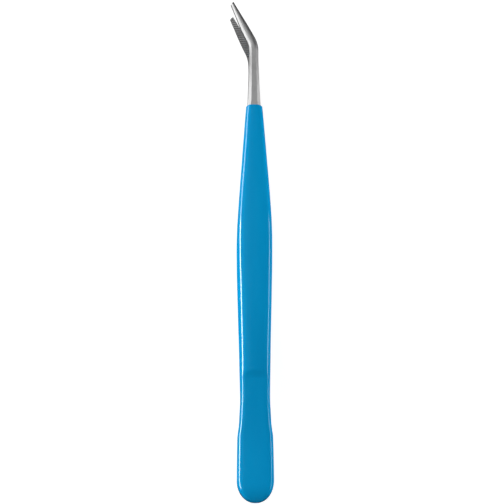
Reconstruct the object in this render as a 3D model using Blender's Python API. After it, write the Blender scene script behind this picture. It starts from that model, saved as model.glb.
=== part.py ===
"""Bent-nose hobby tweezers with a dipped vinyl grip.

Two mirrored steel blades are spot-welded together at the heel and dipped in
blue vinyl up to the bare, bent and serrated tips. Squeezing the grip bends
each blade at its flexure line, so the vinyl and the steel are split there into
a fixed heel and two sprung arms.

The tweezers lie on the rear grip: the butt is at -Y, the tips are at +Y, the
arms open along Z and the tips bend towards -X. Sizes are in millimetres until
`place` turns them into metres; a station is a distance from the butt along Y.
"""

import math

import bmesh
import bpy
from mathutils import Vector

METRES = 0.001
LENGTH = 160.0

# Gap that keeps neighbouring pieces apart, and the vinyl coat over the steel.
CLEARANCE = 0.3
COAT = 0.85
MOUTH_COAT = 0.48
MOUTH_COAT_START = 110.0

# Stations along the tweezers.
ROUND_END = 6.6
BUTT_COAT = 1.6
BUTT_EDGE_RADIUS = 2.0
FLEXURE = 38.1
GRIP_START = 64.0
GRIP_END = 112.0
MOUTH = 124.0
TAPER_START = 138.5
BEND_START = 142.5
JAW_ROOT = 146.5
SERRATION_START = 145.2

# Opening of the arms: half the distance between the blades' inner faces.
HEEL_HALF_GAP = 0.15
SPREAD_START = 16.0
SPREAD = 4.38
STEP_START = 36.9
STEP_END = 39.3
STEP_RISE = 0.42
JAW_DIP = 0.5
JAW_OPENING = math.radians(1.9)

# Blade section. Bevels are shares of the half width; the height of the side
# below a bevel, and of the land below the jaw's ridged back, is a share of the
# thickness. A jaw peak of 1 would be a half round and of 2 a straight roof.
# Each pair of stations is where one section turns into the next. The land that
# ends a groove at each side takes no more of a half width than its limit.
BLADE_THICKNESS = 1.3
SHAFT_THICKNESS = 1.5
TIP_THICKNESS = 0.95
GRIP_BEVEL = 0.16
SHAFT_BEVEL = 0.52
GRIP_SIDE = 0.78
SHAFT_SIDE = 0.50
JAW_LAND = 0.3
JAW_PEAK = 1.2
BEVEL_GROWTH = (119.0, 126.0)
JAW_ROUNDING = (142.5, 147.0)
GROOVE_PITCH = 0.67
GROOVE_DEPTH = 0.2
GROOVE_END_LAND = 0.16
GROOVE_LAND_LIMIT = 0.33

# Bend of the jaws in the XY plane, and the slanted cut across their ends.
BEND_RADIUS = 11.5
BEND_ANGLE = math.radians(25.2)
TIP_CUT_ANGLE = math.radians(50.0)

# Vinyl section: the flat middle ends in rounded sides, which take up nearly
# all of the height. No rounding takes more of a half width than its limit.
SIDE_ROUNDING = 2.5
SIDE_FULLNESS = 0.94
ROUNDING_LIMIT = 0.8

# Spot welds that hold the blades together, inside the heel.
WELD_STATIONS = (8.0, 15.0)
WELD_DIAMETER = 3.0
WELD_INSET = 0.1

# Detail of the meshes: points round a corner or a weld, rings round the butt,
# spacing of the rings along each stretch, how far a cutter runs past, and how
# near to the tip's cut, in metres, a point counts as on it.
CORNER_POINTS = 5
WELD_SEGMENTS = 24
BUTT_RINGS = 9
FIRST_BUTT_RING = 0.35
HEEL_SPACING = 1.6
STEP_SPACING = 0.3
LEG_SPACING = 2.4
GRIP_SPACING = 3.2
MOUTH_SPACING = 1.8
BLADE_SPACING = 4.2
BEVEL_SPACING = 1.0
SHAFT_SPACING = 1.2
OVERRUN = 1.0
CUT_TOLERANCE = 1e-7
SHARP_ANGLE = math.radians(35.0)

# Width of the coated grip at stations along it: heel paddle, waist, finger
# grip, and the taper to the mouth.
GRIP_OUTLINE = (
    (ROUND_END, 10.87),
    (12.6, 10.76),
    (19.8, 10.48),
    (21.6, 10.02),
    (23.4, 9.56),
    (27.0, 9.18),
    (31.5, 8.78),
    (38.0, 8.95),
    (48.0, 9.25),
    (59.0, 9.77),
    (65.0, 10.04),
    (73.0, 10.40),
    (80.0, 10.50),
    (86.0, 10.25),
    (94.0, 9.38),
    (106.0, 7.66),
    (116.0, 6.22),
    (MOUTH, 5.00),
)

# Width of the bare steel, measured across its own direction.
SHAFT_OUTLINE = (
    (MOUTH, 4.10),
    (126.5, 3.78),
    (130.0, 3.48),
    (136.4, 3.02),
    (140.5, 2.80),
    (JAW_ROOT, 2.96),
    (LENGTH, 1.25),
)

VINYL_BLUE = (0.002, 0.225, 0.474, 1.0)
VINYL_ROUGHNESS = 0.25
STEEL_GREY = (0.56, 0.57, 0.58, 1.0)
STEEL_ROUGHNESS = 0.35

HALF_THICKNESS = HEEL_HALF_GAP + SPREAD + STEP_RISE + BLADE_THICKNESS + COAT
FRONT = 1
REAR = -1


def ease(value, start, end):
    """Rise smoothly from 0 at start to 1 at end."""
    share = min(max((value - start) / (end - start), 0.0), 1.0)
    return share * share * (3.0 - 2.0 * share)


def smooth_outline(outline, station):
    """Read a width from an outline with a cubic that adds no bumps of its own."""
    stations = [point[0] for point in outline]
    widths = [point[1] for point in outline]
    last = len(outline) - 1
    station = min(max(station, stations[0]), stations[last])
    index = max(i for i in range(last) if stations[i] <= station)
    steps = [stations[i + 1] - stations[i] for i in range(last)]
    slopes = [(widths[i + 1] - widths[i]) / steps[i] for i in range(last)]

    def tangent(i):
        if i == 0 or i == last:
            return slopes[min(i, last - 1)]
        before, after = slopes[i - 1], slopes[i]
        if before * after <= 0.0:
            return 0.0
        return 2.0 * before * after / (before + after)

    step = steps[index]
    t = (station - stations[index]) / step
    rise = widths[index + 1] - widths[index]
    start_bend = step * tangent(index) - rise
    end_bend = rise - step * tangent(index + 1)
    bend = t * (1.0 - t) * ((1.0 - t) * start_bend + t * end_bend)
    return widths[index] + t * rise + bend


def inner_gap(station):
    """Distance of the blade's inner face from the middle plane, at rest."""
    gap = HEEL_HALF_GAP + SPREAD * ease(station, SPREAD_START, GRIP_START)
    gap += STEP_RISE * ease(station, STEP_START, STEP_END)
    gap -= JAW_DIP * ease(station, GRIP_END, JAW_ROOT)
    gap += max(station - JAW_ROOT, 0.0) * math.tan(JAW_OPENING)
    return gap


def blade_thickness(station):
    """Thickness of the steel, from its inner to its outer face."""
    thickness = BLADE_THICKNESS
    thickness += (SHAFT_THICKNESS - BLADE_THICKNESS) * ease(station, GRIP_END, MOUTH)
    thickness -= (SHAFT_THICKNESS - TIP_THICKNESS) * ease(station, TAPER_START, LENGTH)
    return thickness


def coat(station):
    """Thickness of the vinyl, which thins out towards its mouth."""
    return COAT + (MOUTH_COAT - COAT) * ease(station, MOUTH_COAT_START, MOUTH)


def grip_half_width(station, inset=0.0, end=0.0):
    """Half width of the grip, set in by inset, with a round butt at station end."""
    if station < ROUND_END:
        across = (ROUND_END - station) / (ROUND_END - end)
        roundness = math.sqrt(max(1.0 - across * across, 0.0))
        return (GRIP_OUTLINE[0][1] / 2.0 - inset) * roundness
    return smooth_outline(GRIP_OUTLINE, station) / 2.0 - inset


def blade_half_width(station):
    """Half width of the steel across its own direction."""
    if station > MOUTH:
        return smooth_outline(SHAFT_OUTLINE, station) / 2.0
    return grip_half_width(station, coat(station), BUTT_COAT)


def bend_at(station):
    """Sideways shift of the blade's centre line and its angle to Y."""
    arc_length = BEND_RADIUS * math.sin(BEND_ANGLE)
    along = station - BEND_START
    if along <= 0.0:
        return 0.0, 0.0
    if along < arc_length:
        angle = math.asin(along / BEND_RADIUS)
        return -BEND_RADIUS * (1.0 - math.cos(angle)), angle
    shift = BEND_RADIUS * (1.0 - math.cos(BEND_ANGLE))
    shift += (along - arc_length) * math.tan(BEND_ANGLE)
    return -shift, BEND_ANGLE


def place(side, across, station, height):
    """Point in metres; height is the distance from the middle plane."""
    y = station - LENGTH / 2.0
    z = HALF_THICKNESS + side * height
    return Vector((across, y, z)) * METRES


def rounded_section(half_width, half_height, round_x, round_z):
    """Points of a rounded rectangle around its own centre."""
    points = []
    for quarter in range(4):
        sign_x = 1.0 if quarter in (0, 3) else -1.0
        sign_z = 1.0 if quarter in (0, 1) else -1.0
        for step in range(CORNER_POINTS):
            angle = math.radians(90.0) * (quarter + step / (CORNER_POINTS - 1))
            x = sign_x * (half_width - round_x) + round_x * math.cos(angle)
            z = sign_z * (half_height - round_z) + round_z * math.sin(angle)
            points.append((x, z))
    return points


def outer_ring(side, station):
    """Ring of the vinyl's outer surface, which closes in round the butt."""
    centre = inner_gap(station) + blade_thickness(station) / 2.0
    half_height = blade_thickness(station) / 2.0 + coat(station)
    if station < BUTT_EDGE_RADIUS:
        across = 1.0 - station / BUTT_EDGE_RADIUS
        flatten = math.sqrt(1.0 - across * across)
        half_height *= flatten
        centre *= flatten
    half_width = grip_half_width(station)
    round_x = min(SIDE_ROUNDING, ROUNDING_LIMIT * half_width)
    section = rounded_section(half_width, half_height, round_x, SIDE_FULLNESS * half_height)
    return [place(side, x, station, centre + z) for x, z in section]


def inner_ring(side, station):
    """Ring of the vinyl's inner surface, CLEARANCE away from the steel."""
    centre = inner_gap(station) + blade_thickness(station) / 2.0
    half_height = blade_thickness(station) / 2.0 + CLEARANCE
    half_width = grip_half_width(station, coat(station) - CLEARANCE, BUTT_COAT - CLEARANCE)
    round_x = min(CLEARANCE, ROUNDING_LIMIT * half_width)
    section = rounded_section(half_width, half_height, round_x, CLEARANCE)
    return [place(side, x, station, centre + z) for x, z in section]


def groove_at(station):
    """Depth of the serrations at a station: V grooves between sharp crests."""
    if station < SERRATION_START:
        return 0.0
    turn = (station - SERRATION_START) / GROOVE_PITCH % 1.0
    return GROOVE_DEPTH * (1.0 - abs(2.0 * turn - 1.0))


def blade_arch(half_width, thickness, station):
    """Back of the blade: bevelled bar on the shaft, soft ridge on the jaw."""
    shaft = ease(station, *BEVEL_GROWTH)
    jaw = ease(station, *JAW_ROUNDING)
    bevel = half_width * (GRIP_BEVEL + (SHAFT_BEVEL - GRIP_BEVEL) * shaft)
    side = thickness * (GRIP_SIDE + (SHAFT_SIDE - GRIP_SIDE) * shaft)
    corner = half_width - bevel
    bevelled = [
        (half_width, side),
        (half_width - bevel / 2.0, (side + thickness) / 2.0),
        (corner, thickness),
        (corner / 2.0, thickness),
        (0.0, thickness),
    ]
    bevelled += [(-x, z) for x, z in reversed(bevelled[:-1])]
    land = JAW_LAND * thickness
    arch = []
    for index, (x, z) in enumerate(bevelled):
        angle = math.pi * index / (len(bevelled) - 1)
        reach = abs(math.cos(angle)) ** JAW_PEAK
        ridge_x = math.copysign(half_width * reach, math.cos(angle))
        ridge_z = land + (thickness - land) * abs(math.sin(angle)) ** JAW_PEAK
        arch.append((x + jaw * (ridge_x - x), z + jaw * (ridge_z - z)))
    return arch


def blade_ring(side, station):
    """Ring of the steel: serrated inner face and the arched back."""
    shift, angle = bend_at(station)
    half_width = blade_half_width(station)
    gap = inner_gap(station)
    groove = groove_at(station)
    inner = half_width - min(GROOVE_END_LAND, GROOVE_LAND_LIMIT * half_width)
    section = blade_arch(half_width, blade_thickness(station), station)
    section += [(-half_width, 0.0), (-inner, groove), (0.0, groove)]
    section += [(inner, groove), (half_width, 0.0)]
    return [place(side, shift + x / math.cos(angle), station, gap + z) for x, z in section]


def spaced(start, end, step):
    """Evenly spaced stations from start to end, both included."""
    count = max(1, math.ceil((end - start) / step))
    return [start + (end - start) * i / count for i in range(count + 1)]


def round_end_stations(end):
    """Stations that close in on the butt as its outline curves round."""
    stations = []
    for i in range(BUTT_RINGS + 1):
        angle = math.radians(90.0) * (i + FIRST_BUTT_RING) / (BUTT_RINGS + FIRST_BUTT_RING)
        stations.append(end + (ROUND_END - end) * (1.0 - math.cos(angle)))
    return stations


def heel_stations(end, stop):
    """Stations of a heel piece, from its round butt to its open end."""
    stations = round_end_stations(end)
    stations += spaced(ROUND_END, stop, HEEL_SPACING)[1:]
    return stations


def serration_stations():
    """Stations of every groove bottom and crest, on past the cut tip."""
    count = math.ceil((LENGTH + OVERRUN - SERRATION_START) / GROOVE_PITCH)
    return [SERRATION_START + GROOVE_PITCH * i / 2.0 for i in range(1, 2 * count + 1)]


def skin_rings(mesh, rings):
    """Join each ring of points to the next with quads."""
    loops = [[mesh.verts.new(point) for point in ring] for ring in rings]
    for near, far in zip(loops, loops[1:]):
        for i in range(len(near)):
            after = (i + 1) % len(near)
            mesh.faces.new((near[i], near[after], far[after], far[i]))
    return loops


def face_outwards(mesh):
    """Turn all faces of a closed mesh outwards."""
    bmesh.ops.recalc_face_normals(mesh, faces=mesh.faces[:])
    if mesh.calc_volume(signed=True) < 0.0:
        bmesh.ops.reverse_faces(mesh, faces=mesh.faces[:])


def bar_mesh(rings):
    """Solid bar through the rings, closed by a flat face at each end."""
    mesh = bmesh.new()
    loops = skin_rings(mesh, rings)
    mesh.faces.new(loops[0])
    mesh.faces.new(loops[-1])
    face_outwards(mesh)
    return mesh


def tube_mesh(outer_rings, inner_rings):
    """Tube between two sets of rings, open along the middle."""
    mesh = bmesh.new()
    outer = skin_rings(mesh, outer_rings)
    inner = skin_rings(mesh, inner_rings)
    for outside, inside in ((outer[0], inner[0]), (outer[-1], inner[-1])):
        for i in range(len(outside)):
            after = (i + 1) % len(outside)
            mesh.faces.new((outside[i], outside[after], inside[after], inside[i]))
    face_outwards(mesh)
    return mesh


def make_material(name, color, metallic, roughness):
    material = bpy.data.materials.new(name)
    material.use_nodes = True
    material.diffuse_color = color
    shader = material.node_tree.nodes["Principled BSDF"]
    shader.inputs["Base Color"].default_value = color
    shader.inputs["Metallic"].default_value = metallic
    shader.inputs["Roughness"].default_value = roughness
    return material


def make_vinyl(name):
    return make_material(name + "_vinyl", VINYL_BLUE, 0.0, VINYL_ROUGHNESS)


def make_steel(name):
    return make_material(name + "_steel", STEEL_GREY, 1.0, STEEL_ROUGHNESS)


def add_piece(name, mesh, material, parent=None):
    """Object from a mesh in world place; its origin is its parent's."""
    if parent is not None:
        bmesh.ops.translate(mesh, verts=mesh.verts[:], vec=-parent.location)
    data = bpy.data.meshes.new(name)
    mesh.to_mesh(data)
    mesh.free()
    data.shade_smooth()
    data.set_sharp_from_angle(angle=SHARP_ANGLE)
    data.materials.append(material)
    piece = bpy.data.objects.new(name, data)
    piece.parent = parent
    bpy.context.scene.collection.objects.link(piece)
    return piece


def add_guide(name, mesh):
    """Hidden solid for a Boolean."""
    guide = add_piece(name, mesh, make_steel(name))
    guide.hide_render = True
    guide.display_type = "WIRE"
    return guide


def combine(piece, other, operation):
    """Add or cut another solid with a Boolean modifier."""
    modifier = piece.modifiers.new(other.name, "BOOLEAN")
    modifier.object = other
    modifier.operation = operation
    modifier.solver = "EXACT"


def weld_mesh(station, radius, half_length):
    """Upright cylinder through both blades at a station of the heel."""
    mesh = bmesh.new()
    bmesh.ops.create_cone(
        mesh,
        cap_ends=True,
        segments=WELD_SEGMENTS,
        radius1=radius * METRES,
        radius2=radius * METRES,
        depth=2.0 * half_length * METRES,
    )
    bmesh.ops.translate(mesh, verts=mesh.verts[:], vec=place(FRONT, 0.0, station, 0.0))
    return mesh


def make_welds():
    """Weld nuggets, and the guides that cut their seats through the blades."""
    outer_face = HEEL_HALF_GAP + BLADE_THICKNESS
    radius = WELD_DIAMETER / 2.0
    seats = []
    for number, station in enumerate(WELD_STATIONS, start=1):
        name = f"spot_weld_{number}"
        nugget = weld_mesh(station, radius, outer_face - WELD_INSET)
        add_piece(name, nugget, make_steel(name))
        seat = weld_mesh(station, radius + CLEARANCE, outer_face + OVERRUN)
        seats.append(add_guide(f"weld_seat_{number}", seat))
    return seats


def make_blade_root(side, name, seats):
    """Flat heel end of a blade, from the butt to the flexure line."""
    stations = heel_stations(BUTT_COAT, FLEXURE - CLEARANCE / 2.0)
    rings = [blade_ring(side, station) for station in stations]
    root = add_piece(name, bar_mesh(rings), make_steel(name))
    for seat in seats:
        combine(root, seat, "DIFFERENCE")


def make_heel_boot():
    """Vinyl over both blade roots, forked into two short legs."""
    stop = FLEXURE - CLEARANCE / 2.0
    bodies = {}
    cavities = {}
    for side, label in ((FRONT, "front"), (REAR, "rear")):
        rings = [outer_ring(side, station) for station in heel_stations(0.0, stop)]
        bodies[side] = bar_mesh(rings)
        hollow = heel_stations(BUTT_COAT - CLEARANCE, stop + OVERRUN)
        space = bar_mesh([inner_ring(side, station) for station in hollow])
        cavities[side] = add_guide(f"{label}_root_space", space)
    boot = add_piece("heel_boot", bodies[FRONT], make_vinyl("heel_boot"))
    rear_leg = add_guide("rear_leg", bodies[REAR])
    combine(boot, rear_leg, "UNION")
    combine(boot, cavities[FRONT], "DIFFERENCE")
    combine(boot, cavities[REAR], "DIFFERENCE")


def make_flexure(side, name):
    """Empty on the line that an arm bends about."""
    flexure = bpy.data.objects.new(name, None)
    height = inner_gap(FLEXURE) + BLADE_THICKNESS / 2.0
    flexure.location = place(side, 0.0, FLEXURE, height)
    bpy.context.scene.collection.objects.link(flexure)
    return flexure


def cut_tip(mesh, side):
    """Slant the end of the jaw, with its outer corner leading."""
    shift, angle = bend_at(LENGTH)
    corner_x = shift + blade_half_width(LENGTH) / math.cos(angle)
    corner = place(side, corner_x, LENGTH, inner_gap(LENGTH))
    normal = Vector((-math.sin(TIP_CUT_ANGLE), math.cos(TIP_CUT_ANGLE), 0.0))
    geometry = mesh.verts[:] + mesh.edges[:] + mesh.faces[:]
    bmesh.ops.bisect_plane(
        mesh,
        geom=geometry,
        dist=CUT_TOLERANCE,
        plane_co=corner,
        plane_no=normal,
        clear_outer=True,
    )
    rim = [edge for edge in mesh.edges if edge.is_boundary]
    bmesh.ops.contextual_create(mesh, geom=rim)
    face_outwards(mesh)


def make_blade(side, name, flexure):
    """Sprung blade, from the flexure line to the slanted tip."""
    bevel_start, bevel_end = BEVEL_GROWTH
    stations = spaced(FLEXURE + CLEARANCE / 2.0, STEP_END, STEP_SPACING)
    stations += spaced(STEP_END, bevel_start, BLADE_SPACING)[1:]
    stations += spaced(bevel_start, bevel_end, BEVEL_SPACING)[1:]
    stations += spaced(bevel_end, SERRATION_START, SHAFT_SPACING)[1:]
    stations += serration_stations()
    mesh = bar_mesh([blade_ring(side, station) for station in stations])
    cut_tip(mesh, side)
    add_piece(name, mesh, make_steel(name), flexure)


def make_sleeve(side, name, flexure):
    """Vinyl tube over a sprung blade."""
    stations = spaced(FLEXURE + CLEARANCE / 2.0, STEP_END, STEP_SPACING)
    stations += spaced(STEP_END, GRIP_START, LEG_SPACING)[1:]
    stations += spaced(GRIP_START, GRIP_END, GRIP_SPACING)[1:]
    stations += spaced(GRIP_END, MOUTH, MOUTH_SPACING)[1:]
    outer = [outer_ring(side, station) for station in stations]
    inner = [inner_ring(side, station) for station in stations]
    add_piece(name, tube_mesh(outer, inner), make_vinyl(name), flexure)


def build():
    for old in list(bpy.data.objects):
        bpy.data.objects.remove(old, do_unlink=True)
    seats = make_welds()
    make_heel_boot()
    for side, label in ((FRONT, "front"), (REAR, "rear")):
        make_blade_root(side, f"{label}_blade_root", seats)
        flexure = make_flexure(side, f"{label}_flexure")
        make_blade(side, f"{label}_blade", flexure)
        make_sleeve(side, f"{label}_sleeve", flexure)


build()
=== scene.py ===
"""Looks of the bent-nose tweezers: glossy dipped vinyl over satin steel.

Profiles are worked out in millimetres: a station is a distance from the butt
along Y, and a height is a distance from the middle plane between the two
arms.
"""

import math

import bmesh
import bpy
from mathutils import Matrix, Vector


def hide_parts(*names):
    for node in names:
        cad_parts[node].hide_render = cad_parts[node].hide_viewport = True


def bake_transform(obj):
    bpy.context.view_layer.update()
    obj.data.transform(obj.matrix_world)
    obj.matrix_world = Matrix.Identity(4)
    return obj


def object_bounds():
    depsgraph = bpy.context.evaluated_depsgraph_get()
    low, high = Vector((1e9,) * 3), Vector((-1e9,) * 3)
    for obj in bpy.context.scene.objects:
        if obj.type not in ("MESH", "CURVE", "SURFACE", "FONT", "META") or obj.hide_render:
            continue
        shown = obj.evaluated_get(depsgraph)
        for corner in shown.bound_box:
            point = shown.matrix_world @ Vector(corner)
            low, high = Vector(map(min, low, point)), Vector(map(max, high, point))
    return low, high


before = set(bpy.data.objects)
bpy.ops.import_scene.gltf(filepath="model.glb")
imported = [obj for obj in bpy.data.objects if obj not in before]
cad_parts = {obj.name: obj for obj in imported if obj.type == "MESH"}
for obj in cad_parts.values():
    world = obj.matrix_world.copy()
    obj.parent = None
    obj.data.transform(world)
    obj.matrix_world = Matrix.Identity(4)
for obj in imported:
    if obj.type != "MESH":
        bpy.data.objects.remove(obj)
cad_low, cad_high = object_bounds()

METRES = 0.001

# The frame says where the tweezers lie and how long they are.
LENGTH = (cad_high.y - cad_low.y) / METRES
BUTT_Y = cad_low.y
MIDDLE_Z = (cad_high.z + cad_low.z) / 2.0

# Stations along the tweezers.
ROUND_END = 6.6
BUTT_COAT = 1.6
BUTT_EDGE_RADIUS = 5.0
WEB_END = 32.5
WEB_ROUNDING = 0.8
GRIP_START = 64.0
GRIP_END = 112.0
MOUTH_APPROACH = 119.0
MOUTH = 124.0
TAPER_START = 138.5
BEND_START = 142.5
JAW_ROOT = 146.5
SERRATION_START = 145.2

# Opening of the arms: half the distance between the blades' inner faces.
HEEL_HALF_GAP = 0.15
SPREAD_START = 16.0
SPREAD = 4.38
STEP_START = 36.9
STEP_END = 39.3
STEP_RISE = 0.42
JAW_DIP = 0.5
JAW_OPENING = math.radians(1.9)

# Blade section. Bevels are shares of the half width; the height of the side
# below a bevel, and of the land below the jaw's ridged back, is a share of the
# thickness. A jaw peak of 1 would be a half round and of 2 a straight roof.
# Each pair of stations is where one section turns into the next. The land that
# ends a groove at each side takes no more of a half width than its limit, and
# a groove's profile gives shares of its pitch and of its depth.
BLADE_THICKNESS = 1.3
SHAFT_THICKNESS = 1.5
TIP_THICKNESS = 0.95
GRIP_BEVEL = 0.16
SHAFT_BEVEL = 0.52
GRIP_SIDE = 0.78
SHAFT_SIDE = 0.50
BEVEL_GROWTH = (MOUTH_APPROACH, 126.0)
JAW_ROUNDING = (142.5, 147.0)
JAW_LAND = 0.3
JAW_PEAK = 1.2
GROOVE_PITCH = 0.67
GROOVE_DEPTH = 0.2
GROOVE_PROFILE = ((0.0, 0.0), (0.45, 0.0), (0.72, 1.0))
GROOVE_END_LAND = 0.16
GROOVE_LAND_LIMIT = 1.0 / 3.0

# Bend of the jaws in the XY plane, and the slanted cut across their ends, set
# back a little so that the tips stay inside the CAD's box.
BEND_RADIUS = 11.5
BEND_ANGLE = math.radians(25.2)
TIP_CUT_ANGLE = math.radians(50.0)
TIP_SETBACK = 0.01

# Vinyl coat, and how near its inside comes to the steel.
COAT = 0.85
MOUTH_COAT = 0.48
MOUTH_COAT_START = 110.0
MOUTH_LIP = 0.25
INNER_SKIN_GAP = 0.02
THINNEST_LIP = 2.0 * INNER_SKIN_GAP / MOUTH_COAT

# The mouth's edge comes forward in its middle and falls back at its corners:
# size of the change, the station where it starts, the share of it that comes
# forward, and how sharply the corners fall back.
MOUTH_CROWN = 0.3
CROWN_START = 120.0
CROWN_MIDDLE = 0.3
CROWN_POWER = 4

# Vinyl section. A squareness of 2 is an ellipse, and a higher one is nearer to
# a rectangle. An arm is squarest where the grip is widest. The face begins at a
# share of the half height.
ELLIPSE = 2.0
ARM_SQUARENESS = 3.4
HEEL_SQUARENESS = 8.0
INNER_SQUARENESS = 24.0
GRIP_HALF_WIDTH = 5.25
FACE_START = 0.985

# Valley between the legs where they share a web: its depth at the heel, what it
# gains up to the web's end, its limit as a share of the half width, and how
# softly it runs into the sides and into its own bottom.
WEB_DEPTH = 0.5
WEB_DEEPENING = 1.2
WEB_DEPTH_LIMIT = 0.8
VALLEY_SIDE_SOFTNESS = 0.3
VALLEY_BOTTOM_SOFTNESS = 0.15

# Width of the coated grip at stations along it: heel paddle, waist, finger
# grip, and the taper to the mouth.
GRIP_OUTLINE = (
    (ROUND_END, 10.87),
    (12.6, 10.76),
    (19.8, 10.48),
    (21.6, 10.02),
    (23.4, 9.56),
    (27.0, 9.18),
    (31.5, 8.78),
    (38.0, 8.95),
    (48.0, 9.25),
    (59.0, 9.77),
    (65.0, 10.04),
    (73.0, 10.40),
    (80.0, 10.50),
    (86.0, 10.25),
    (94.0, 9.38),
    (106.0, 7.66),
    (116.0, 6.22),
    (MOUTH, 5.00),
)

# Width of the bare steel, measured across its own direction.
SHAFT_OUTLINE = (
    (MOUTH, 4.10),
    (126.5, 3.78),
    (130.0, 3.48),
    (136.4, 3.02),
    (140.5, 2.80),
    (JAW_ROOT, 2.96),
    (LENGTH, 1.25),
)

# Detail of the meshes: points round a section, rings round the butt and the
# lip, and the spacing of the rings along each stretch. Hidden surfaces, under
# the vinyl, need fewer.
SIDE_POINTS = 18
FACE_POINTS = 9
BEVEL_POINTS = 4
BUTT_RINGS = 26
FIRST_BUTT_RING = 0.25
LIP_RINGS = 6
STEP_MARGIN = 0.6
HEEL_SPACING = 0.6
WEB_SPACING = 0.1
LEG_SPACING = 0.5
STEP_SPACING = 0.12
GRIP_SPACING = 0.9
MOUTH_SPACING = 0.4
SHAFT_SPACING = 0.4
HIDDEN_HEEL_SPACING = 2.0
HIDDEN_STEP_SPACING = 0.35
HIDDEN_GRIP_SPACING = 2.5
VINYL_SHARP_ANGLE = math.radians(40.0)
STEEL_SHARP_ANGLE = math.radians(24.0)

# How far the grooves run past the tip before it is cut, and how near to the
# cut, in metres, a point counts as on it.
OVERRUN = 1.0
CUT_TOLERANCE = 1e-7

FRONT = 1
REAR = -1


# ---------------------------------------------------------------- profiles

def ease(value, start, end):
    """Rise smoothly from 0 at start to 1 at end."""
    share = min(max((value - start) / (end - start), 0.0), 1.0)
    return share * share * (3.0 - 2.0 * share)


def smooth_outline(outline, station):
    """Read a width from an outline with a cubic that adds no bumps of its own."""
    stations = [point[0] for point in outline]
    widths = [point[1] for point in outline]
    last = len(outline) - 1
    station = min(max(station, stations[0]), stations[last])
    index = max(i for i in range(last) if stations[i] <= station)
    steps = [stations[i + 1] - stations[i] for i in range(last)]
    slopes = [(widths[i + 1] - widths[i]) / steps[i] for i in range(last)]

    def tangent(i):
        if i == 0 or i == last:
            return slopes[min(i, last - 1)]
        before, after = slopes[i - 1], slopes[i]
        if before * after <= 0.0:
            return 0.0
        return 2.0 * before * after / (before + after)

    step = steps[index]
    t = (station - stations[index]) / step
    rise = widths[index + 1] - widths[index]
    start_bend = step * tangent(index) - rise
    end_bend = rise - step * tangent(index + 1)
    bend = t * (1.0 - t) * ((1.0 - t) * start_bend + t * end_bend)
    return widths[index] + t * rise + bend


def inner_gap(station):
    """Height of the blade's inner face."""
    gap = HEEL_HALF_GAP + SPREAD * ease(station, SPREAD_START, GRIP_START)
    gap += STEP_RISE * ease(station, STEP_START, STEP_END)
    gap -= JAW_DIP * ease(station, GRIP_END, JAW_ROOT)
    gap += max(station - JAW_ROOT, 0.0) * math.tan(JAW_OPENING)
    return gap


def blade_thickness(station):
    """Thickness of the steel, from its inner to its outer face."""
    thickness = BLADE_THICKNESS
    thickness += (SHAFT_THICKNESS - BLADE_THICKNESS) * ease(station, GRIP_END, MOUTH)
    thickness -= (SHAFT_THICKNESS - TIP_THICKNESS) * ease(station, TAPER_START, LENGTH)
    return thickness


def coat(station):
    """Thickness of the vinyl, which thins out towards its mouth."""
    return COAT + (MOUTH_COAT - COAT) * ease(station, MOUTH_COAT_START, MOUTH)


def grip_half_width(station, inset=0.0, end=0.0):
    """Half width of the grip, set in by inset, with a round butt at station end."""
    if station < ROUND_END:
        across = (ROUND_END - station) / (ROUND_END - end)
        roundness = math.sqrt(max(1.0 - across * across, 0.0))
        return (GRIP_OUTLINE[0][1] / 2.0 - inset) * roundness
    return smooth_outline(GRIP_OUTLINE, station) / 2.0 - inset


def blade_half_width(station):
    """Half width of the steel across its own direction."""
    if station > MOUTH:
        return smooth_outline(SHAFT_OUTLINE, station) / 2.0
    return grip_half_width(station, coat(station), BUTT_COAT)


def bend_at(station):
    """Sideways shift of the blade's centre line and its angle to Y."""
    arc_length = BEND_RADIUS * math.sin(BEND_ANGLE)
    along = station - BEND_START
    if along <= 0.0:
        return 0.0, 0.0
    if along < arc_length:
        angle = math.asin(along / BEND_RADIUS)
        return -BEND_RADIUS * (1.0 - math.cos(angle)), angle
    shift = BEND_RADIUS * (1.0 - math.cos(BEND_ANGLE))
    shift += (along - arc_length) * math.tan(BEND_ANGLE)
    return -shift, BEND_ANGLE


def place(side, across, station, height):
    """Point in metres, in the frame."""
    return Vector((across * METRES, BUTT_Y + station * METRES, MIDDLE_Z + side * height * METRES))


def spaced(start, end, step):
    """Evenly spaced stations from start to end, both included."""
    count = max(1, math.ceil((end - start) / step))
    return [start + (end - start) * i / count for i in range(count + 1)]


def stretch_stations(stretches):
    """Stations from the round end on; a stretch is its end and its spacing."""
    stations = []
    start = ROUND_END
    for end, spacing in stretches:
        stations += spaced(start, end, spacing)[1:]
        start = end
    return stations


def round_end_stations(end):
    """Stations that close in on the butt as its outline curves round."""
    last = BUTT_RINGS + FIRST_BUTT_RING
    angles = [math.pi / 2.0 * (i + FIRST_BUTT_RING) / last for i in range(BUTT_RINGS + 1)]
    return [end + (ROUND_END - end) * (1.0 - math.cos(angle)) for angle in angles]


# ------------------------------------------------------------------ meshes

def skin_rings(mesh, rings):
    """Join each ring of points to the next with quads."""
    loops = [[mesh.verts.new(point) for point in ring] for ring in rings]
    for near, far in zip(loops, loops[1:]):
        for i in range(len(near)):
            after = (i + 1) % len(near)
            mesh.faces.new((near[i], near[after], far[after], far[i]))
    return loops


def closed_mesh(rings):
    """Closed mesh through the rings, with a flat face at each end."""
    mesh = bmesh.new()
    loops = skin_rings(mesh, rings)
    mesh.faces.new(loops[0])
    mesh.faces.new(loops[-1])
    face_outwards(mesh)
    return mesh


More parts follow.
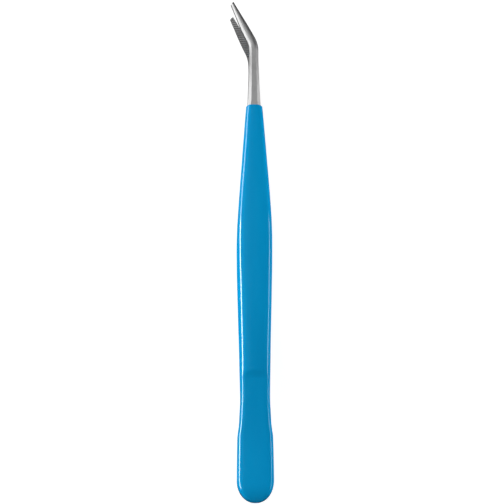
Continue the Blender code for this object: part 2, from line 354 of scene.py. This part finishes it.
def face_outwards(mesh):
    """Turn all faces of a closed mesh outwards."""
    bmesh.ops.recalc_face_normals(mesh, faces=mesh.faces[:])
    if mesh.calc_volume(signed=True) < 0.0:
        bmesh.ops.reverse_faces(mesh, faces=mesh.faces[:])


def add_piece(name, mesh, material, sharp_angle):
    """Turn a mesh into a named piece, smooth but for edges past the sharp angle."""
    data = bpy.data.meshes.new(name)
    mesh.to_mesh(data)
    mesh.free()
    data.shade_smooth()
    data.set_sharp_from_angle(angle=sharp_angle)
    data.materials.append(material)
    piece = bpy.data.objects.new(name, data)
    bpy.context.scene.collection.objects.link(piece)
    return piece


def flex_with(piece):
    """Bake the piece's placement into its mesh."""
    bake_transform(piece)


# ------------------------------------------------------------------- vinyl

def soft_max(first, second, softness):
    """Larger of two values, with a soft change from one to the other."""
    gap = first - second
    return (first + second + math.sqrt(gap * gap + softness * softness)) / 2.0


def leg_reach(height, centre, half_height, half_width, squareness):
    """How far a leg's side reaches across at a height: a squared-off oval."""
    across = min(abs(height - centre) / half_height, 1.0)
    return half_width * (1.0 - across * across) ** (1.0 / squareness)


def coat_section(bottom, centre, half_height, half_width, squareness, web):
    """Closed outline of one leg's vinyl, as (across, height) points.

    The sides run from the bottom to the crowned outer face. Where the legs meet
    at the middle plane, the valley between them comes no further in than web.
    """
    top = centre + half_height * FACE_START
    side = []
    for i in range(SIDE_POINTS + 1):
        share = (1.0 - math.cos(math.pi * i / SIDE_POINTS)) / 2.0
        height = bottom + (top - bottom) * share
        reach = leg_reach(height, centre, half_height, half_width, squareness)
        if web is not None and height < centre:
            mirrored = leg_reach(-height, centre, half_height, half_width, squareness)
            reach = min(soft_max(reach, mirrored, VALLEY_SIDE_SOFTNESS), half_width)
            reach = min(soft_max(reach, web, VALLEY_BOTTOM_SOFTNESS), half_width)
        side.append((reach, height))
    face = side[-1][0]
    outer = []
    for i in range(1, FACE_POINTS):
        across = face * (1.0 - 2.0 * i / FACE_POINTS)
        crown = math.sqrt(1.0 - (abs(across) / half_width) ** squareness)
        outer.append((across, centre + half_height * crown))
    start = side[0][0]
    inner = [(start * (2.0 * i / FACE_POINTS - 1.0), bottom) for i in range(1, FACE_POINTS)]
    return side + outer + [(-x, z) for x, z in reversed(side)] + inner


def coat_squareness(station, half_width):
    """Squareness of the vinyl's section, less on the arms than on the heel."""
    arm = ELLIPSE + (ARM_SQUARENESS - ELLIPSE) * half_width / GRIP_HALF_WIDTH
    share = ease(station, STEP_START, STEP_END)
    return HEEL_SQUARENESS + (arm - HEEL_SQUARENESS) * share


def web_between_legs(station, leg_bottom, half_width):
    """Bottom of a leg's section and half width of the web, or None past it."""
    if station >= WEB_END + WEB_ROUNDING:
        return leg_bottom, None
    past = max(station - WEB_END, 0.0) / WEB_ROUNDING
    rise = math.sqrt(1.0 - (1.0 - past) ** 2)
    depth = WEB_DEPTH + WEB_DEEPENING * ease(station, SPREAD_START, WEB_END)
    web = half_width - min(depth, WEB_DEPTH_LIMIT * half_width)
    return max(leg_bottom, 0.0) * rise, web


def mouth_crown(station, across_share):
    """How far the mouth's edge is pushed towards the tips."""
    shape = CROWN_MIDDLE - across_share ** CROWN_POWER
    return MOUTH_CROWN * shape * ease(station, CROWN_START, MOUTH)


def outer_coat_ring(side, station, cover_share=1.0):
    """Ring of the vinyl's outer surface; cover_share thins it at the lip."""
    thickness = blade_thickness(station)
    cover = coat(station) * cover_share
    centre = inner_gap(station) + thickness / 2.0
    half_height = thickness / 2.0 + cover
    half_width = grip_half_width(station) - coat(station) + cover
    if station < BUTT_EDGE_RADIUS:
        across = 1.0 - station / BUTT_EDGE_RADIUS
        flatten = math.sqrt(1.0 - across * across)
        half_height *= flatten
        centre *= flatten
    squareness = coat_squareness(station, half_width)
    bottom, web = web_between_legs(station, centre - half_height, half_width)
    section = coat_section(bottom, centre, half_height, half_width, squareness, web)
    crowns = [mouth_crown(station, x / half_width) for x, z in section]
    return [place(side, x, station + crown, z) for (x, z), crown in zip(section, crowns)]


def inner_coat_ring(side, station):
    """Ring of the vinyl's inner surface, just clear of the steel."""
    thickness = blade_thickness(station)
    centre = inner_gap(station) + thickness / 2.0
    half_height = thickness / 2.0 + INNER_SKIN_GAP
    inset = coat(station) - INNER_SKIN_GAP
    half_width = grip_half_width(station, inset, BUTT_COAT - INNER_SKIN_GAP)
    bottom = centre - half_height
    section = coat_section(bottom, centre, half_height, half_width, INNER_SQUARENESS, None)
    crown = mouth_crown(station, 0.0)
    return [place(side, x, station + crown, z) for x, z in section]


def coat_stations():
    """Stations of the vinyl, closest where it turns round or steps."""
    stretches = (
        (WEB_END, HEEL_SPACING),
        (WEB_END + WEB_ROUNDING, WEB_SPACING),
        (STEP_START - STEP_MARGIN, LEG_SPACING),
        (STEP_END + STEP_MARGIN, STEP_SPACING),
        (MOUTH_APPROACH, GRIP_SPACING),
        (MOUTH - MOUTH_LIP, MOUTH_SPACING),
    )
    return round_end_stations(0.0) + stretch_stations(stretches)


def hidden_stretches(end):
    """Stretches of a surface under the vinyl, up to an end station."""
    return (
        (STEP_START, HIDDEN_HEEL_SPACING),
        (STEP_END, HIDDEN_STEP_SPACING),
        (end, HIDDEN_GRIP_SPACING),
    )


def make_coat(side, name, material):
    """Vinyl of one arm and its half of the heel, hollow around the steel."""
    rings = [outer_coat_ring(side, station) for station in coat_stations()]
    for i in range(1, LIP_RINGS + 1):
        angle = math.pi / 2.0 * i / LIP_RINGS
        station = MOUTH - MOUTH_LIP + MOUTH_LIP * math.sin(angle)
        rings.append(outer_coat_ring(side, station, max(math.cos(angle), THINNEST_LIP)))
    inner = round_end_stations(BUTT_COAT - INNER_SKIN_GAP)[1:]
    inner += stretch_stations(hidden_stretches(MOUTH - MOUTH_LIP))
    rings += [inner_coat_ring(side, station) for station in reversed(inner)]
    return add_piece(name, closed_mesh(rings), material, VINYL_SHARP_ANGLE)


# ------------------------------------------------------------------- steel

def bevelled_back(half_width, thickness, shaft):
    """Back of the grip's flat bar, or with shaft at 1 of the shaft's bevelled one."""
    bevel = half_width * (GRIP_BEVEL + (SHAFT_BEVEL - GRIP_BEVEL) * shaft)
    side = thickness * (GRIP_SIDE + (SHAFT_SIDE - GRIP_SIDE) * shaft)
    corners = [(half_width, side), (half_width - bevel, thickness), (0.0, thickness)]
    half = []
    for (x0, z0), (x1, z1) in zip(corners, corners[1:]):
        for i in range(BEVEL_POINTS):
            share = i / BEVEL_POINTS
            half.append((x0 + share * (x1 - x0), z0 + share * (z1 - z0)))
    return half + [corners[-1]] + [(-x, z) for x, z in reversed(half)]


def blade_arch(half_width, thickness, station):
    """Back of the blade: bevelled bar on the shaft, soft ridge on the jaw."""
    bevelled = bevelled_back(half_width, thickness, ease(station, *BEVEL_GROWTH))
    jaw = ease(station, *JAW_ROUNDING)
    land = JAW_LAND * thickness
    arch = []
    for index, (x, z) in enumerate(bevelled):
        angle = math.pi * index / (len(bevelled) - 1)
        reach = abs(math.cos(angle)) ** JAW_PEAK
        round_x = math.copysign(half_width * reach, math.cos(angle))
        round_z = land + (thickness - land) * abs(math.sin(angle)) ** JAW_PEAK
        arch.append((x + jaw * (round_x - x), z + jaw * (round_z - z)))
    return arch


def blade_ring(side, station, groove):
    """Ring of the steel: inner face, cut to the groove's depth, and arched back."""
    shift, angle = bend_at(station)
    half_width = blade_half_width(station)
    gap = inner_gap(station)
    inner = half_width - min(GROOVE_END_LAND, GROOVE_LAND_LIMIT * half_width)
    section = blade_arch(half_width, blade_thickness(station), station)
    section += [(-half_width, 0.0), (-inner, groove), (0.0, groove)]
    section += [(inner, groove), (half_width, 0.0)]
    return [place(side, shift + x / math.cos(angle), station, gap + z) for x, z in section]


def cut_tip(mesh, side):
    """Slant the end of the jaw, with the corner outside its bend leading."""
    shift, angle = bend_at(LENGTH)
    corner_x = shift + blade_half_width(LENGTH) / math.cos(angle)
    corner = place(side, corner_x, LENGTH - TIP_SETBACK, inner_gap(LENGTH))
    normal = Vector((-math.sin(TIP_CUT_ANGLE), math.cos(TIP_CUT_ANGLE), 0.0))
    geometry = mesh.verts[:] + mesh.edges[:] + mesh.faces[:]
    bmesh.ops.bisect_plane(
        mesh,
        geom=geometry,
        dist=CUT_TOLERANCE,
        plane_co=corner,
        plane_no=normal,
        clear_outer=True,
    )
    rim = [edge for edge in mesh.edges if edge.is_boundary]
    bmesh.ops.contextual_create(mesh, geom=rim)
    face_outwards(mesh)


def make_blade(side, name, material):
    """Steel of one arm, from the heel to the slanted, serrated tip."""
    plain = round_end_stations(BUTT_COAT)
    plain += stretch_stations(hidden_stretches(MOUTH_APPROACH))
    plain += spaced(MOUTH_APPROACH, SERRATION_START, SHAFT_SPACING)[1:-1]
    rings = [blade_ring(side, station, 0.0) for station in plain]
    grooves = math.ceil((LENGTH + OVERRUN - SERRATION_START) / GROOVE_PITCH)
    for tooth in range(grooves):
        for share, depth in GROOVE_PROFILE:
            station = SERRATION_START + GROOVE_PITCH * (tooth + share)
            rings.append(blade_ring(side, station, GROOVE_DEPTH * depth))
    mesh = closed_mesh(rings)
    cut_tip(mesh, side)
    return add_piece(name, mesh, material, STEEL_SHARP_ANGLE)


# --------------------------------------------------------------- materials

# Colours are linear, and a roughness is a range that noise moves within.
VINYL_BLUE = (0.0002, 0.190, 0.388)
VINYL_BLUE_DEEP = (0.0002, 0.174, 0.366)
VINYL_ROUGHNESS = (0.05, 0.09)
VINYL_SPECULAR = 0.65
VINYL_IOR = 1.5
STEEL_LIGHT = (0.80, 0.80, 0.80)
STEEL_DARK = (0.66, 0.66, 0.66)
STEEL_ROUGHNESS = (0.30, 0.44)

# Noise: scale per metre on each axis, detail and roughness. Nearly all of its
# values lie in its range.
COLOR_DRIFT = ((120.0, 40.0, 120.0), 2.0, 0.5)
HANDLING_HAZE = ((1500.0, 700.0, 1500.0), 4.0, 0.6)
FLOW_WAVES = ((220.0, 90.0, 220.0), 1.0, 0.4)
VINYL_GRAIN = ((4200.0, 4200.0, 4200.0), 2.0, 0.5)
GROUND_LINES = ((9000.0, 260.0, 9000.0), 3.0, 0.6)
STEEL_CLOUD = ((500.0, 250.0, 500.0), 3.0, 0.55)
NOISE_RANGE = (0.3, 0.7)

# Bumps: height in metres and strength.
FLOW_BUMP = (0.0004, 0.08)
GRAIN_BUMP = (0.00001, 0.10)
GROUND_BUMP = (0.00002, 0.25)


def grey(level):
    """Grey colour at a linear level, opaque."""
    return (level, level, level, 1.0)


def node(tree, kind, **inputs):
    """New node; a keyword sets the input of that name, underscores for spaces."""
    made = tree.nodes.new(kind)
    for key, value in inputs.items():
        made.inputs[key.replace("_", " ")].default_value = value
    return made


def stretched_noise(tree, scale, detail, roughness):
    """Noise over the object's own coordinates; scale is per metre on each axis."""
    place_node = tree.nodes.new("ShaderNodeTexCoord")
    mapping = node(tree, "ShaderNodeMapping", Scale=scale)
    noise = node(tree, "ShaderNodeTexNoise", Scale=1.0, Detail=detail, Roughness=roughness)
    tree.links.new(place_node.outputs["Object"], mapping.inputs["Vector"])
    tree.links.new(mapping.outputs["Vector"], noise.inputs["Vector"])
    return noise.outputs["Fac"]


def ramp(tree, source, low, high):
    """Map a noise's values to a range of numbers."""
    made = tree.nodes.new("ShaderNodeMapRange")
    made.inputs["From Min"].default_value = NOISE_RANGE[0]
    made.inputs["From Max"].default_value = NOISE_RANGE[1]
    made.inputs["To Min"].default_value = low
    made.inputs["To Max"].default_value = high
    tree.links.new(source, made.inputs["Value"])
    return made.outputs["Result"]


def mix_colors(tree, source, first, second):
    """Colour between two, as a noise says."""
    mixed = tree.nodes.new("ShaderNodeMix")
    mixed.data_type = "RGBA"
    mixed.inputs["A"].default_value = (*first, 1.0)
    mixed.inputs["B"].default_value = (*second, 1.0)
    tree.links.new(ramp(tree, source, 0.0, 1.0), mixed.inputs["Factor"])
    return mixed.outputs["Result"]


def bump(tree, height, distance, strength, under=None):
    """Normal raised by a height map, over another bump if there is one."""
    made = node(tree, "ShaderNodeBump", Strength=strength, Distance=distance)
    tree.links.new(height, made.inputs["Height"])
    if under is not None:
        tree.links.new(under, made.inputs["Normal"])
    return made.outputs["Normal"]


def new_material(name):
    """New material, with its node tree and its shader."""
    material = bpy.data.materials.new(name)
    material.use_nodes = True
    return material, material.node_tree, material.node_tree.nodes["Principled BSDF"]


def vinyl_material():
    """Glossy dipped vinyl: faint colour drift, flow waves and fine handling haze."""
    material, tree, shader = new_material("dipped_vinyl")
    drift = stretched_noise(tree, *COLOR_DRIFT)
    color = mix_colors(tree, drift, VINYL_BLUE, VINYL_BLUE_DEEP)
    tree.links.new(color, shader.inputs["Base Color"])
    haze = stretched_noise(tree, *HANDLING_HAZE)
    tree.links.new(ramp(tree, haze, *VINYL_ROUGHNESS), shader.inputs["Roughness"])
    waves = stretched_noise(tree, *FLOW_WAVES)
    grain = stretched_noise(tree, *VINYL_GRAIN)
    flow = bump(tree, waves, *FLOW_BUMP)
    tree.links.new(bump(tree, grain, *GRAIN_BUMP, flow), shader.inputs["Normal"])
    shader.inputs["Specular IOR Level"].default_value = VINYL_SPECULAR
    shader.inputs["IOR"].default_value = VINYL_IOR
    return material


def steel_material():
    """Satin stainless steel, ground along its length."""
    material, tree, shader = new_material("satin_steel")
    lines = stretched_noise(tree, *GROUND_LINES)
    cloud = stretched_noise(tree, *STEEL_CLOUD)
    color = mix_colors(tree, cloud, STEEL_LIGHT, STEEL_DARK)
    tree.links.new(color, shader.inputs["Base Color"])
    tree.links.new(ramp(tree, lines, *STEEL_ROUGHNESS), shader.inputs["Roughness"])
    tree.links.new(bump(tree, lines, *GROUND_BUMP), shader.inputs["Normal"])
    shader.inputs["Metallic"].default_value = 1.0
    return material


# ------------------------------------------------------------------- stage

CAMERA_ELEVATION = math.radians(70.0)
CAMERA_YAW = math.radians(2.0)
CAMERA_ROLL = math.radians(-0.25)
CAMERA_DISTANCE = 0.6
CAMERA_LENS = 140.65
SENSOR_WIDTH = 36.0
CLIP_START = 0.01
CLIP_END = 20.0
CAMERA_AIM = Vector((-0.0007, -0.0022, MIDDLE_Z))

# Grey levels: the room's light, the light that the floor throws back up, and
# the floor as the camera sees it, which is lit paper with a glow of its own.
ROOM_LEVEL = 0.03
FLOOR_THROWN = 0.06
FLOOR_PAPER = 0.50
FLOOR_GLOW = 0.92
FLOOR_RADIUS = 3.0
FLOOR_SEGMENTS = 96
SOFTBOX_DISTANCE = 1.0

# Softboxes: name, direction, width, length, radiance and what they add. A
# "gloss" box only shows in reflections, a "diffuse" box only shades, and "both"
# does both. The vinyl has its own, and the steel shares the rest with the floor.
VINYL_SOFTBOXES = (
    ("left_strip", (-0.80, 0.05, 0.56), 0.22, 0.70, 20.0, "gloss"),
    ("left_strip_end", (-0.80, 0.54, 0.56), 0.22, 0.26, 7.0, "gloss"),
    ("right_strip", (0.76, 0.05, 0.57), 0.07, 0.70, 9.0, "gloss"),
    ("top_fill", (-0.45, 0.25, 0.86), 1.0, 1.0, 3.8, "diffuse"),
    ("left_fill", (-0.95, 0.20, 0.22), 0.30, 1.4, 16.0, "diffuse"),
    ("right_fill", (0.97, 0.20, 0.07), 0.14, 1.4, 37.0, "diffuse"),
    ("butt_fill", (0.0, -0.93, 0.36), 0.8, 0.5, 2.0, "diffuse"),
)
STEEL_SOFTBOXES = (
    ("overhead", (0.0, 0.34, 0.94), 1.0, 1.0, 0.38, "both"),
    ("left_wall", (-0.86, 0.15, 0.45), 1.1, 1.4, 1.4, "both"),
    ("right_wall", (0.92, 0.30, 0.20), 0.6, 0.8, 1.15, "both"),
    ("left_back", (-0.72, -0.68, 0.14), 0.28, 0.9, 1.5, "both"),
    ("right_back", (0.72, -0.68, 0.12), 0.24, 0.9, 0.7, "both"),
)


def make_camera():
    """Camera at the elevation, yaw and roll above, aimed at the tweezers."""
    data = bpy.data.cameras.new("camera")
    data.lens = CAMERA_LENS
    data.sensor_width = SENSOR_WIDTH
    data.clip_start = CLIP_START
    data.clip_end = CLIP_END
    camera = bpy.data.objects.new("camera", data)
    back = Vector((
        -math.sin(CAMERA_YAW) * math.sin(CAMERA_ELEVATION),
        -math.cos(CAMERA_ELEVATION),
        math.cos(CAMERA_YAW) * math.sin(CAMERA_ELEVATION),
    ))
    right = Vector((0.0, 1.0, 0.0)).cross(back).normalized()
    up = back.cross(right)
    turn = Matrix((right, up, back)).transposed().to_4x4()
    location = Matrix.Translation(CAMERA_AIM + CAMERA_DISTANCE * back)
    camera.matrix_world = location @ turn @ Matrix.Rotation(CAMERA_ROLL, 4, "Z")
    bpy.context.scene.collection.objects.link(camera)
    bpy.context.scene.camera = camera


def add_softbox(box, receivers):
    """Soft rectangle of light, parallel to the tweezers, for its receivers only."""
    name, toward, width, length, radiance, adds = box
    data = bpy.data.lights.new(name, "AREA")
    data.shape = "RECTANGLE"
    data.size = width
    data.size_y = length
    data.energy = radiance * math.pi * width * length
    light = bpy.data.objects.new(name, data)
    back = Vector(toward).normalized()
    across = Vector((0.0, 1.0, 0.0)).cross(back).normalized()
    along = back.cross(across)
    turn = Matrix((across, along, back)).transposed().to_4x4()
    light.matrix_world = Matrix.Translation(back * SOFTBOX_DISTANCE) @ turn
    light.visible_glossy = adds != "diffuse"
    light.visible_diffuse = adds != "gloss"
    bpy.context.scene.collection.objects.link(light)
    light.light_linking.receiver_collection = receivers


def make_softboxes(name, softboxes, objects):
    """Light a group of objects with its own softboxes."""
    group = bpy.data.collections.new(name)
    for obj in objects:
        group.objects.link(obj)
    for box in softboxes:
        add_softbox(box, group)


def mix_for_camera(tree, lighting, seen):
    """One shader for what lights the tweezers, another for what the camera sees."""
    path = tree.nodes.new("ShaderNodeLightPath")
    mixed = tree.nodes.new("ShaderNodeMixShader")
    tree.links.new(path.outputs["Is Camera Ray"], mixed.inputs["Fac"])
    tree.links.new(lighting, mixed.inputs[1])
    tree.links.new(seen, mixed.inputs[2])
    return mixed.outputs["Shader"]


def make_world():
    """Dim room; the camera sees a white backdrop."""
    world = bpy.data.worlds.new("room")
    bpy.context.scene.world = world
    world.use_nodes = True
    tree = world.node_tree
    tree.nodes.clear()
    room = node(tree, "ShaderNodeBackground", Color=grey(ROOM_LEVEL), Strength=1.0)
    white = node(tree, "ShaderNodeBackground", Color=grey(1.0), Strength=1.0)
    output = tree.nodes.new("ShaderNodeOutputWorld")
    seen = mix_for_camera(tree, room.outputs["Background"], white.outputs["Background"])
    tree.links.new(seen, output.inputs["Surface"])


def floor_material():
    """White sheet with a faint shadow; it throws little light back up."""
    material = bpy.data.materials.new("floor_white")
    material.use_nodes = True
    tree = material.node_tree
    tree.nodes.clear()
    thrown = node(tree, "ShaderNodeBsdfDiffuse", Color=grey(FLOOR_THROWN))
    paper = node(tree, "ShaderNodeBsdfDiffuse", Color=grey(FLOOR_PAPER))
    glow = node(tree, "ShaderNodeEmission", Color=grey(1.0), Strength=FLOOR_GLOW)
    lit = tree.nodes.new("ShaderNodeAddShader")
    tree.links.new(paper.outputs["BSDF"], lit.inputs[0])
    tree.links.new(glow.outputs["Emission"], lit.inputs[1])
    output = tree.nodes.new("ShaderNodeOutputMaterial")
    seen = mix_for_camera(tree, thrown.outputs["BSDF"], lit.outputs["Shader"])
    tree.links.new(seen, output.inputs["Surface"])
    return material


def make_floor():
    """Round white floor, far wider than the tweezers."""
    mesh = bmesh.new()
    bmesh.ops.create_circle(
        mesh, cap_ends=True, segments=FLOOR_SEGMENTS, radius=FLOOR_RADIUS
    )
    data = bpy.data.meshes.new("floor")
    mesh.to_mesh(data)
    mesh.free()
    data.materials.append(floor_material())
    floor = bpy.data.objects.new("floor", data)
    bpy.context.scene.collection.objects.link(floor)
    return floor


# ------------------------------------------------------------------- build

def make_arm(side, label, vinyl, steel):
    """Vinyl and steel of one arm, in place of its CAD nodes."""
    skin = make_coat(side, f"{label}_vinyl_coat", vinyl)
    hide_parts("heel_boot", f"{label}_sleeve")
    flex_with(skin)
    blade = make_blade(side, f"{label}_steel_blade", steel)
    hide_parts(f"{label}_blade_root", f"{label}_blade")
    flex_with(blade)
    return skin, blade


def finish_welds(steel):
    """Give the hidden spot welds, which keep their CAD shape, the steel's look."""
    for name in ("spot_weld_1", "spot_weld_2"):
        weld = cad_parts[name]
        for slot in weld.material_slots:
            slot.material = steel


make_camera()
make_world()
floor = make_floor()
bpy.context.scene.view_settings.view_transform = "Standard"
vinyl = vinyl_material()
steel = steel_material()
front_skin, front_blade = make_arm(FRONT, "front", vinyl, steel)
rear_skin, rear_blade = make_arm(REAR, "rear", vinyl, steel)
finish_welds(steel)
make_softboxes("lit_vinyl", VINYL_SOFTBOXES, (front_skin, rear_skin))
make_softboxes("lit_steel_and_floor", STEEL_SOFTBOXES, (front_blade, rear_blade, floor))
